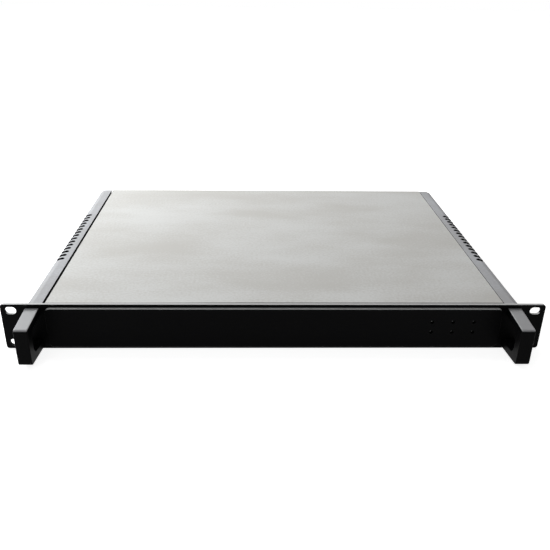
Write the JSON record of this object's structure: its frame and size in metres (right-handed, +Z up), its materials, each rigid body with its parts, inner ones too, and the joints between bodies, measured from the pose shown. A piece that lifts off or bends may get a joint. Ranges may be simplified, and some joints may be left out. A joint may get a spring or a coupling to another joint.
{
  "type": "1u rack server",
  "caption": "Shallow 1U rack server with blank front, bar handles, vented side rails, slide-off cover, fans, boards, drives and power supply.",
  "frame": {"origin": "centre of the rack-slot pattern on the rear face of the front panel, where the ears seat on the rack posts", "axes": "+X to the right as seen from the front, along the 19-inch width; +Y to the rear, away from the handles; +Z up through the cover"},
  "size_m": [0.4826, 0.3838, 0.0438],
  "materials": {
    "front_black": "fine satin black powder coat",
    "handle_metal": "fine satin black powder coat over bar aluminium",
    "case_steel": "pale grey satin coat on sheet steel",
    "zinc_sheet": "bright zinc-plated sheet",
    "fastener_steel": "zinc-plated steel",
    "bright_metal": "nickel-plated shells",
    "sink_aluminium": "mill-finish extruded fins",
    "brass_spacer": "turned brass",
    "circuit_board": "green solder mask",
    "component_black": "matt moulded black",
    "fan_plastic": "glass-filled black plastic",
    "rocker_plastic": "glossy black",
    "latch_plastic": "off-white nylon",
    "smoked_lens": "smoked lens",
    "drive_shell": "bead-blasted drive shell",
    "cable_black": "black sleeved cable"
  },
  "bodies": {
    "chassis": {"front_panel": "front_black", "front_plate": "front_black", "left_handle": "handle_metal", "right_handle": "handle_metal", "handle_screws": "fastener_steel", "right_rail": "case_steel", "left_rail": "case_steel", "base_tray": "case_steel", "flush_screws": "fastener_steel", "rear_panel": "case_steel", "panel_nuts": "fastener_steel", "slot_cover": "case_steel", "slot_cover_screws": "fastener_steel", "led_board": "circuit_board", "status_leds": "smoked_lens", "board_standoffs": "brass_spacer", "board_screws": "fastener_steel", "main_board": "circuit_board", "board_components": "component_black", "processor": "bright_metal", "heatsink": "sink_aluminium", "heatsink_screws": "fastener_steel", "expansion_socket": "component_black", "io_shield": "bright_metal", "d_sub_ports": "bright_metal", "usb_ports": "bright_metal", "lan_ports": "bright_metal", "fan_bracket": "zinc_sheet", "fan_screws": "fastener_steel", "psu_case": "zinc_sheet", "psu_board": "circuit_board", "psu_fan_frame": "fan_plastic", "power_inlet": "component_black", "switch_housing": "component_black", "drive_bracket": "zinc_sheet", "drive_screws": "fastener_steel", "power_cables": "cable_black", "signal_cables": "cable_black", "fan_frame_1": "fan_plastic", "fan_frame_2": "fan_plastic", "fan_frame_3": "fan_plastic", "memory_socket_1": "component_black", "memory_module_1": "circuit_board", "drive_1": "drive_shell", "memory_socket_2": "component_black", "memory_module_2": "circuit_board", "drive_2": "drive_shell"},
    "cover": {"top_cover": "case_steel", "cover_screws": "fastener_steel"},
    "fan_rotor_1": {"fan_rotor_1": "fan_plastic"},
    "fan_rotor_2": {"fan_rotor_2": "fan_plastic"},
    "fan_rotor_3": {"fan_rotor_3": "fan_plastic"},
    "memory_latch_1": {"memory_latch_1": "latch_plastic"},
    "memory_latch_2": {"memory_latch_2": "latch_plastic"},
    "memory_latch_3": {"memory_latch_3": "latch_plastic"},
    "memory_latch_4": {"memory_latch_4": "latch_plastic"},
    "psu_fan_rotor": {"psu_fan_rotor": "fan_plastic"},
    "power_rocker": {"power_rocker": "rocker_plastic"}
  },
  "joints": [
    {"name": "cover_slide", "type": "slide", "parent": "chassis", "child": "cover", "axis": [0, 1, 0], "range_m": [0, 0.345]},
    {"name": "fan_1_spin", "type": "hinge", "parent": "chassis", "child": "fan_rotor_1", "pos_m": [0.1722, 0.12626, -0.0007], "axis": [1, 0, 0], "continuous": true},
    {"name": "fan_2_spin", "type": "hinge", "parent": "chassis", "child": "fan_rotor_2", "pos_m": [0.1722, 0.17076, -0.0007], "axis": [1, 0, 0], "continuous": true},
    {"name": "fan_3_spin", "type": "hinge", "parent": "chassis", "child": "fan_rotor_3", "pos_m": [0.1722, 0.21526, -0.0007], "axis": [1, 0, 0], "continuous": true},
    {"name": "psu_fan_spin", "type": "hinge", "parent": "chassis", "child": "psu_fan_rotor", "pos_m": [-0.1682, 0.3183, -0.0006], "axis": [0, 1, 0], "continuous": true},
    {"name": "rocker_tilt", "type": "hinge", "parent": "chassis", "child": "power_rocker", "pos_m": [-0.127, 0.3401, 0.0104], "axis": [0, 0, 1], "range_deg": [0, 16]},
    {"name": "latch_1_open", "type": "hinge", "parent": "chassis", "child": "memory_latch_1", "pos_m": [-0.01285, 0.1813, -0.0091], "axis": [0, -1, 0], "range_deg": [0, 35]},
    {"name": "latch_2_open", "type": "hinge", "parent": "chassis", "child": "memory_latch_2", "pos_m": [0.12685, 0.1813, -0.0091], "axis": [0, 1, 0], "range_deg": [0, 35]},
    {"name": "latch_3_open", "type": "hinge", "parent": "chassis", "child": "memory_latch_3", "pos_m": [-0.01285, 0.1923, -0.0091], "axis": [0, -1, 0], "range_deg": [0, 35]},
    {"name": "latch_4_open", "type": "hinge", "parent": "chassis", "child": "memory_latch_4", "pos_m": [0.12685, 0.1923, -0.0091], "axis": [0, 1, 0], "range_deg": [0, 35]}
  ]
}
